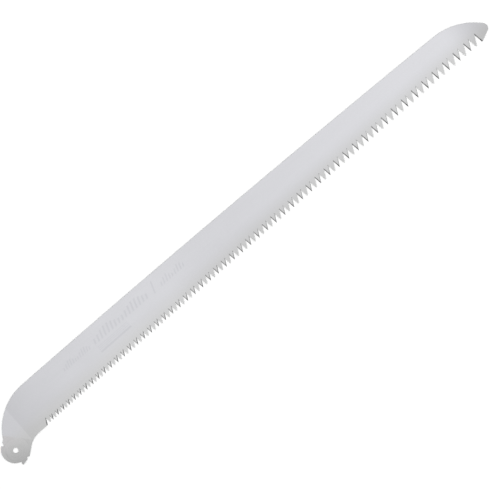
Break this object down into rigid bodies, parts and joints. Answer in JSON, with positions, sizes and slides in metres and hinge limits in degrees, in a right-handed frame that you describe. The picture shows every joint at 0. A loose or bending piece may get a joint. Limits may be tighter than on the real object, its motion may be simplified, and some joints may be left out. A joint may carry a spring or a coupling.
{
  "type": "pull saw blade",
  "caption": "Long replacement blade for a large folding pull saw: flat tapered steel with bevelled teeth, curved tip, and a hooked tang with a pivot hole.",
  "frame": {"origin": "axis of the pivot hole, at the lower face of the tang, which lies on the surface", "axes": "+X along the blade from the pivot to the tip, +Y from the teeth to the spine, +Z square to the blade, out of its marked face"},
  "size_m": [1.1176, 0.1047, 0.002],
  "materials": {
    "blade_steel": "satin hard-chrome plated steel with fine grinding lines along the blade"
  },
  "bodies": {
    "root": {"saw_blade": "blade_steel"}
  },
  "joints": []
}
